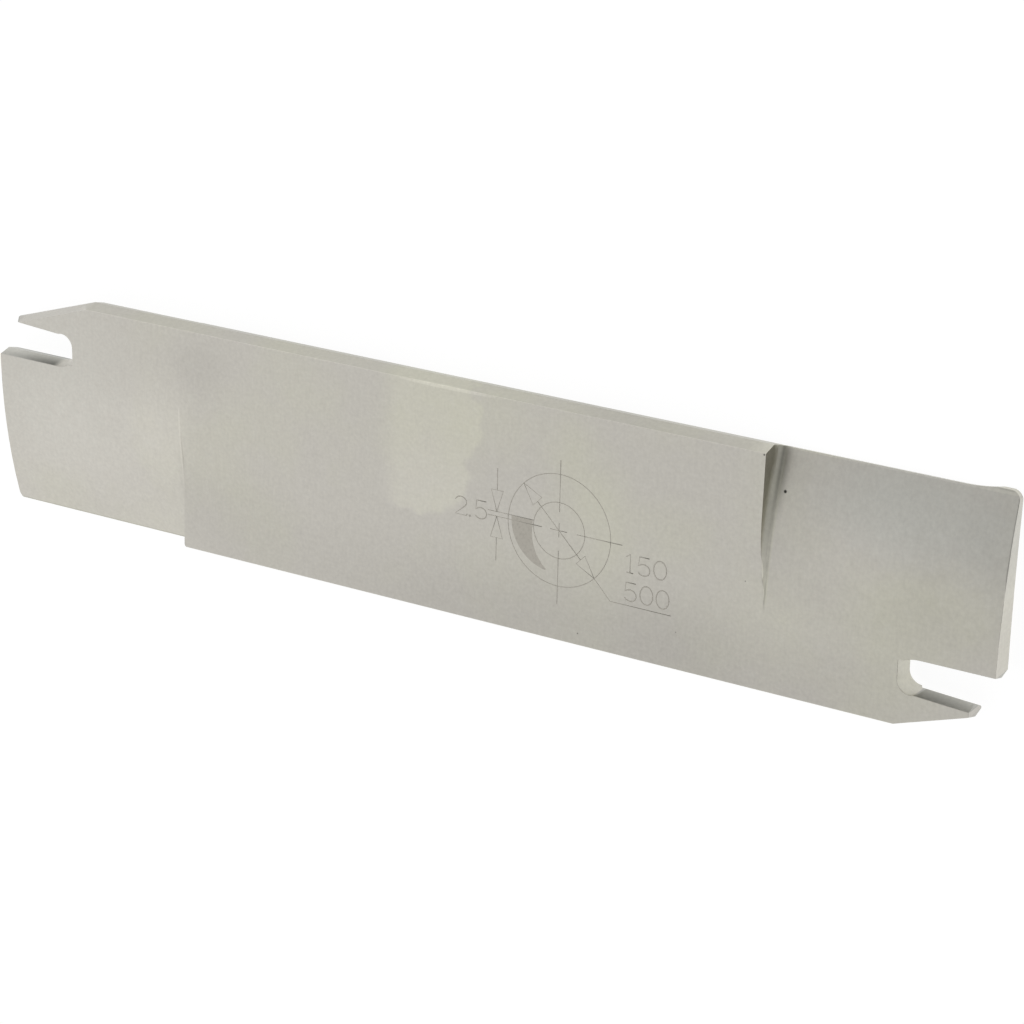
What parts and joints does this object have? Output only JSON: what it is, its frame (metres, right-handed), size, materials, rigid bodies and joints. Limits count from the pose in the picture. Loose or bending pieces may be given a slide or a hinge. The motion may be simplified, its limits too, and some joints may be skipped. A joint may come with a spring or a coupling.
{
  "type": "parting blade",
  "caption": "Double-ended self-gripping parting blade with V-shaped clamping edges, open insert slots and ends ground to a convex front for face grooving.",
  "frame": {"origin": "centre of the blade's outline, on the plane of its flat back face, on which it lies", "axes": "+X along the blade, +Y across it from one V edge to the other, +Z out of the front face"},
  "size_m": [0.15, 0.0318, 0.0043],
  "materials": {
    "blade": "fine ground satin"
  },
  "bodies": {
    "root": {"blade": "blade"}
  },
  "joints": []
}
